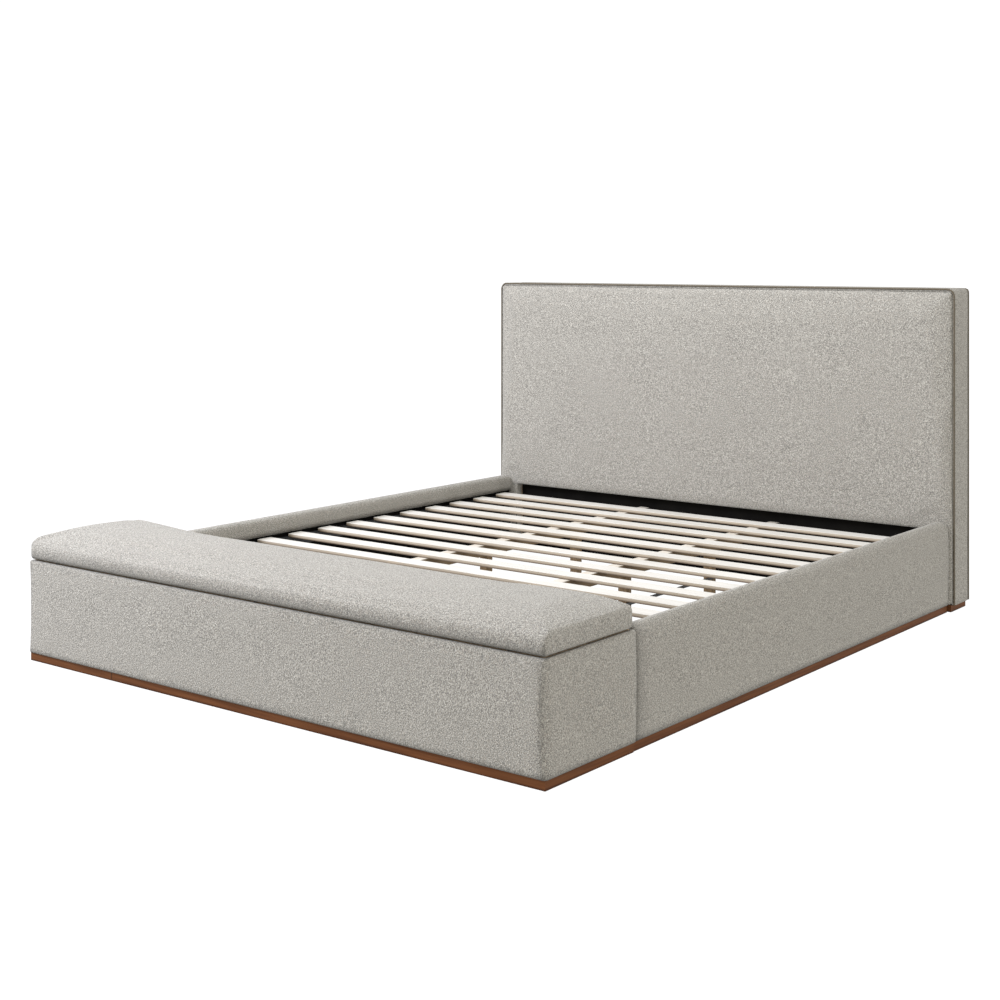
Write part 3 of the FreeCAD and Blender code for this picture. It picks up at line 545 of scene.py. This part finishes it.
def headboard_welts():
    """Two lines of piping, each a cord wrapped in bias-cut cloth."""
    low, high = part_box("headboard_piping")
    sunk = 0.0035
    radius = (high.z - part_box("headboard_boxing")[1].z) / 2 + sunk / 2
    sides = 12
    made = []
    lines = (("front_welt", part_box("headboard_boxing")[0].y, FRONT_CORNER),
             ("rear_welt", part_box("headboard_back_panel")[0].y, REAR_CORNER))
    for name, y, corner in lines:
        stations = []
        path = upright_path(high.x - radius, high.z - radius, FRONT_CORNER, low.z, step=0.012)
        for (x, z), (way_x, way_z) in path:
            past = corner_reach(way_x, way_z, corner) - FRONT_CORNER
            ring = []
            for index in range(sides):
                turn = 2 * math.pi * index / sides
                out = math.cos(turn) * radius + past
                ring.append((x + way_x * out, y + math.sin(turn) * radius, z + way_z * out))
            stations.append(ring)
        made.append(swept_loop(name, stations, WELT))
    for piece in made:
        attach(piece, "bed")
        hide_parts("headboard_piping")
    return made


def upright_grid(half, top, foot, radius, step):
    """Rows of (x, z) over the headboard's outline, with its upper corners pulled onto their arcs."""
    rows = []
    for z in spaced(foot, top, step):
        row = []
        for x in spaced(-half, half, step):
            over_x = abs(x) - (half - radius)
            over_z = z - (top - radius)
            if over_x > 0 and over_z > 0:
                shrink = max(over_x, over_z) / math.hypot(over_x, over_z)
                across = half - radius + over_x * shrink
                row.append((math.copysign(across, x), top - radius + over_z * shrink))
            else:
                row.append((x, z))
        rows.append(row)
    return rows


def plate_piece(name, rows, front, back, finish):
    """A closed plate over rows of (x, z), its two faces at the depths that front and back give."""
    width = len(rows[0])
    flat = [point for row in rows for point in row]
    count = len(flat)
    points = [(x, front(x, z), z) for x, z in flat] + [(x, back(x, z), z) for x, z in flat]
    faces = []
    for row in range(len(rows) - 1):
        for column in range(width - 1):
            corner = row * width + column
            quad = (corner, corner + 1, corner + width + 1, corner + width)
            faces.append(quad)
            faces.append(tuple(index + count for index in reversed(quad)))
    rim = list(range(width)) + [row * width + width - 1 for row in range(1, len(rows))]
    rim += [count - 2 - column for column in range(width - 1)]
    rim += [row * width for row in range(len(rows) - 2, 0, -1)]
    for here, after in zip(rim, rim[1:] + rim[:1]):
        faces.append((here, here + count, after + count, after))
    return mesh_piece(name, points, faces, finish)


def headboard_rear():
    """The back of the headboard: cover stretched over a thin board."""
    low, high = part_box("headboard_back_panel")
    inset = 0.0035
    roll, roll_reach = 0.004, 0.02
    wave = 0.0006
    rows = upright_grid(high.x - inset, high.z - inset, low.z, REAR_CORNER, step=0.024)

    def rear(x, z):
        """The depth of the cover, rolled forward at the sides and the top."""
        edge = min(high.x - abs(x), high.z - z, z - low.z + roll_reach)
        rolled = roll * max(0.0, 1 - edge / roll_reach) ** 2
        return high.y - rolled + waviness((x, high.y, z), wave) - wave

    piece = plate_piece("headboard_back_cover", rows, lambda x, z: low.y + 0.0005, rear, COVER)
    pad(piece, "bed", "upholstery", 1.0, "headboard_back_panel")
    return piece


headboard_front()
headboard_band()
headboard_welts()
headboard_rear()


# Side rails
RAIL_FOOT_ROUND = 0.005


def rail_outline(low, high, core_low, core_high):
    """The right rail's cover in section, low and high with x as its inner and outer faces: up the outside,
    over the top, down to the end of the inner flap, and back round the core."""
    shoulder = 0.026
    crown = 12
    flap_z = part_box("bay_linings")[1].z
    middle = (low.x + high.x) / 2
    half = (high.x - low.x) / 2
    core_in, core_out = core_low.x - COVER_GAP, core_high.x + COVER_GAP
    core_top = core_high.z + COVER_GAP
    outline = [(core_out, low.z)]
    outline += quarter((high.x - RAIL_FOOT_ROUND, low.z + RAIL_FOOT_ROUND), RAIL_FOOT_ROUND, 3, 4)
    outline += [(high.x, z) for z in spaced(low.z + RAIL_FOOT_ROUND, high.z - shoulder, 0.016)[1:]]
    for index in range(1, crown):
        turn = math.pi * index / crown
        rise = shoulder * math.sin(turn) ** 0.72
        outline.append((middle + half * math.cos(turn), high.z - shoulder + rise))
    outline += [(low.x, z) for z in spaced(high.z - shoulder, flap_z, 0.016)]
    outline += [(core_in, flap_z), (core_in, core_top), (core_out, core_top)]
    return outline + [(core_out, (low.z + core_high.z) / 2)]


def rail_cover(side):
    """One rail's cover: a thick pad outside, a roll over the top, a thin flap down the inner face."""
    name = side + "_rail_cover"
    sign = 1 if side == "right" else -1
    low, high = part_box(name)
    core_low, core_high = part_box(side + "_rail_core")
    low.x, high.x = sorted((abs(low.x), abs(high.x)))
    core_low.x, core_high.x = sorted((abs(core_low.x), abs(core_high.x)))
    outline = rail_outline(low, high, core_low, core_high)
    flap_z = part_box("bay_linings")[1].z
    head_round = 0.034
    end_roll = 0.006
    core_drop = 0.006
    stations = []
    ends = spaced(high.y - head_round, high.y, 0.004)
    for y in spaced(low.y, high.y - head_round, 0.020)[:-1] + ends:
        past = max(0.0, y - (high.y - head_round))
        limit = high.z - head_round + math.sqrt(max(0.0, head_round ** 2 - past ** 2))
        near = max(0.0, y - (high.y - end_roll)) / end_roll
        station = []
        for x, z in outline:
            is_core = (core_low.x - 2 * COVER_GAP < x < core_high.x + 2 * COVER_GAP
                       and flap_z < z < core_high.z + 2 * COVER_GAP)
            roof = limit - (core_drop if is_core else 0.0)
            outward = 0.0
            if x >= high.x - COVER_GAP and z > low.z + RAIL_FOOT_ROUND:
                share = (z - low.z) / (high.z - low.z)
                outward = 0.0050 * math.sin(math.pi * min(1.0, share)) + waviness((x * sign, y, z), 0.0012)
                outward -= 0.005 * near ** 2
            station.append((sign * (x + outward), y, min(z, roof)))
        stations.append(station)
    piece = swept_loop(side + "_rail_upholstery", stations, COVER)
    cloth_settled(piece, cap=0.0025, free=lambda point: abs(point.x) > core_high.x + 0.004
                  and low.y + 0.01 < point.y < high.y - 0.01 and point.z > low.z + 0.01, pressure=2.0)
    # painted shade along the cover's foot, near the rail's front end by the bench, and at its head end
    paint_shade(piece, lambda point: 0.9 * nearness(point.z - low.z, 0.015) ** 1.5
            + 0.45 * nearness(point.y - low.y, 0.08) ** 2 + 0.8 * nearness(point.y - high.y, 0.006))
    pad(piece, "bed", "upholstery", 0.8, name)
    return piece


for side in ("left", "right"):
    rail_cover(side)


# Foot bench
def plan_path(half, front, rear, radius, step):
    """Points and outward ways round the bench: left end, front with rounded corners, right end."""
    path = [((-half, y), (-1.0, 0.0)) for y in spaced(rear, front + radius, step)[:-1]]
    for x, y in quarter((0.0, 0.0), 1.0, 2, 8):
        path.append(((-half + radius + radius * x, front + radius + radius * y), (x, y)))
    path += [((x, front), (0.0, -1.0)) for x in spaced(-half + radius, half - radius, step)[1:-1]]
    for x, y in quarter((0.0, 0.0), 1.0, 3, 8):
        path.append(((half - radius + radius * x, front + radius + radius * y), (x, y)))
    return path + [((half, y), (1.0, 0.0)) for y in spaced(front + radius, rear, step)[1:]]


def bench_cover():
    """The bench's cover: one padded skin round the left end, the front and the right end."""
    front_low, front_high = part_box("bench_front_cover")
    half = front_high.x
    front = front_low.y
    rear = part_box("bench_end_covers")[1].y
    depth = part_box("bench_front_panel")[0].y - front - COVER_GAP
    foot, top = front_low.z, front_high.z
    top_round = 0.007
    foot_round = 0.006
    stiff_reach = 0.09
    section = [(-depth, foot + 0.0002)]
    section += quarter((-foot_round, foot + foot_round), foot_round, 3, 4)
    section += [(0.0, z) for z in spaced(foot + foot_round, top - top_round, 0.012)[1:-1]]
    section += quarter((-top_round, top - top_round), top_round, 0, 5)
    section += [(-depth, top)]
    stations = []
    for (x, y), (way_x, way_y) in plan_path(half, front, rear, radius=0.014, step=0.014):
        corner = min(1.0, math.hypot(abs(x) - half, y - front) / stiff_reach)
        station = []
        for reach, z in section:
            share = (z - foot) / (top - foot)
            push = 0.0
            if reach > -0.001:
                belly = math.sin(math.pi * share) ** 0.7
                push = ((0.0020 + 0.0020 * abs(way_x)) * corner - 0.0008) * belly
                push += waviness((x, y, z), 0.0015) * corner
            station.append((x + way_x * (reach + push), y + way_y * (reach + push), z))
        stations.append(station)
    piece = swept_loop("bench_upholstery", stations, COVER)
    cloth_settled(piece, cap=0.002, free=lambda point: foot + 0.01 < point.z < top - 0.01
                  and (abs(point.x) > half - 0.006 or point.y < front + 0.006) and point.y < rear - 0.01,
                  pressure=1.5)
    # painted shade along the cover's foot, along the front's top under the lid's seam, and in a band beside
    # each front corner
    paint_shade(piece, lambda point: 0.9 * nearness(point.z - foot, 0.015) ** 1.5
            + 0.3 * nearness(point.z - top, 0.005) * (point.y < front + 0.02)
            + 0.25 * nearness(abs(point.x) - half + 0.016, 0.014) * (point.y < front + 0.01))
    pad(piece, "bed", "upholstery", 0.9, "bench_front_cover", "bench_end_covers")
    return piece


def bench_back_cover():
    """The thin cover on the back of the bench, seen between the lid and the mattress."""
    low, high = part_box("bench_rear_cover")
    rows = [[(x, z) for x in spaced(low.x, high.x, 0.03)] for z in spaced(low.z, high.z, 0.009)]

    def rear(x, z):
        """The depth of the cover, rolled forward at its foot and its top."""
        way = (z - low.z) / (high.z - low.z) * 2 - 1
        return high.y - COVER_GAP - 0.003 * abs(way) ** 6

    piece = plate_piece("bench_rear_upholstery", rows, lambda x, z: low.y + 0.0002, rear, COVER)
    pad(piece, "bed", "upholstery", 1.0, "bench_rear_cover")
    return piece


bench_cover()
bench_back_cover()


# Lid
def lid_cushion():
    """The lid's cushion: it swells between its seams, its corners are mitred and its left end is fuller."""
    low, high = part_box("lid_cushion")
    piece = remeshed("lid_upholstery", "lid_cushion", voxel=0.006, smoothing=2, finish=COVER)
    rim = 0.005
    seam = low.z + 0.012
    left_rise, left_reach = 0.014, 0.50
    cloth_settled(piece, cap=0.0055, free=lambda point: point.z > seam and abs(point.x) < high.x - rim
                  and low.y + rim < point.y < high.y - rim)
    for vertex in piece.data.vertices:
        place = vertex.co
        if place.z > seam:
            across = (place.y - low.y) / (high.y - low.y)
            fuller = (0.35 + 0.65 * math.sin(math.pi * min(1.0, max(0.0, across))))
            fuller *= nearness(place.x - low.x, left_reach) * (place.z - low.z) / (high.z - low.z)
            vertex.co.z += waviness(place, 0.0012) + left_rise * fuller

    def depth(point):
        """How much painted shade a point takes: where the cover rolls under, and along its mitres."""
        inset_x = high.x - abs(point.x)
        inset_y = point.y - low.y
        mitre = nearness(inset_x - inset_y, 0.006) * nearness(max(inset_x, inset_y), 0.030)
        roll = 0.62 if inset_y < inset_x else 0.12
        return roll * nearness(point.z - low.z, 0.036) ** 1.3 + 0.35 * mitre

    paint_shade(piece, depth)
    pad(piece, "lid", "upholstery", 0.9, "lid_cushion")
    return piece


def lid_wrap():
    """The margin of the cover that is turned under the lid and stapled to its board."""
    low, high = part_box("lid_cushion")
    inner_low, inner_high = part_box("lid_lining")
    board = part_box("lid_board")[0].z
    edge = 0.008
    outer = [(low.x + edge, low.y + edge), (high.x - edge, low.y + edge), (high.x - edge, high.y - edge),
             (low.x + edge, high.y - edge)]
    inner = [(inner_low.x, inner_low.y), (inner_high.x, inner_low.y), (inner_high.x, inner_high.y),
             (inner_low.x, inner_high.y)]
    points = [(x, y, z) for z in (low.z, board) for ring in (outer, inner) for x, y in ring]
    faces = []
    for index in range(4):
        after = (index + 1) % 4
        faces.append((index, after, after + 4, index + 4))
        faces.append((index + 8, after + 8, after + 12, index + 12))
        faces.append((index, after, after + 8, index + 8))
        faces.append((index + 4, after + 4, after + 12, index + 12))
    piece = mesh_piece("lid_cover_turn_under", points, faces, COVER)
    for face in piece.data.polygons:
        face.use_smooth = False
    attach(piece, "lid")
    return piece


lid_cushion()
lid_wrap()


# Stage, light and camera
BED_MIDDLE = Vector((0.0, 0.0, 0.3))


def softbox(name, place, power, size, colour):
    """One large soft lamp that shines from a place towards the bed's middle."""
    lamp = bpy.data.lights.new(name, "AREA")
    lamp.energy = power
    lamp.size = size
    lamp.color = colour
    made = bpy.data.objects.new(name, lamp)
    made.location = place
    made.rotation_euler = (BED_MIDDLE - Vector(place)).to_track_quat("-Z", "Y").to_euler()
    made.visible_camera = False
    bpy.context.scene.collection.objects.link(made)


def studio():
    """A pale floor, a white room and soft lamps."""
    reach = 30.0
    mesh = bpy.data.meshes.new("floor")
    mesh.from_pydata([(-reach, -reach, 0), (reach, -reach, 0), (reach, reach, 0), (-reach, reach, 0)], [],
                     [(0, 1, 2, 3)])
    floor = bpy.data.objects.new("floor", mesh)
    bpy.context.scene.collection.objects.link(floor)
    finish, _, surface, _ = material("floor_paint")
    surface.inputs["Base Color"].default_value = (0.08, 0.08, 0.08, 1)
    surface.inputs["Emission Color"].default_value = (1.0, 1.0, 1.0, 1)
    surface.inputs["Emission Strength"].default_value = 1.0
    surface.inputs["Roughness"].default_value = 0.9
    surface.inputs["Specular IOR Level"].default_value = 0.0
    mesh.materials.append(finish)

    world = bpy.data.worlds.new("white_room")
    bpy.context.scene.world = world
    world.use_nodes = True
    room = world.node_tree.nodes["Background"]
    room.inputs["Color"].default_value = (1.0, 1.0, 1.0, 1)
    room.inputs["Strength"].default_value = 1.06
    softbox("window", (-3.20, -3.00, 3.20), power=350.0, size=1.6, colour=(0.82, 0.86, 1.0))
    softbox("overhead", (0.25, -0.10, 3.00), power=42.0, size=1.4, colour=(0.90, 0.93, 1.0))
    softbox("fill", (4.20, -0.50, 2.20), power=15.0, size=2.0, colour=(1.0, 0.98, 0.95))


def camera():
    """The photograph's camera."""
    lens = bpy.data.cameras.new("camera")
    lens.sensor_width = 36.0
    lens.lens = CAMERA_LENS
    lens.shift_x, lens.shift_y = CAMERA_SHIFT
    made = bpy.data.objects.new("camera", lens)
    made.location = CAMERA_PLACE
    made.rotation_euler = (math.pi / 2, 0.0, CAMERA_TURN)
    bpy.context.scene.collection.objects.link(made)
    bpy.context.scene.camera = made


studio()
camera()
bpy.context.scene.view_settings.view_transform = "Standard"
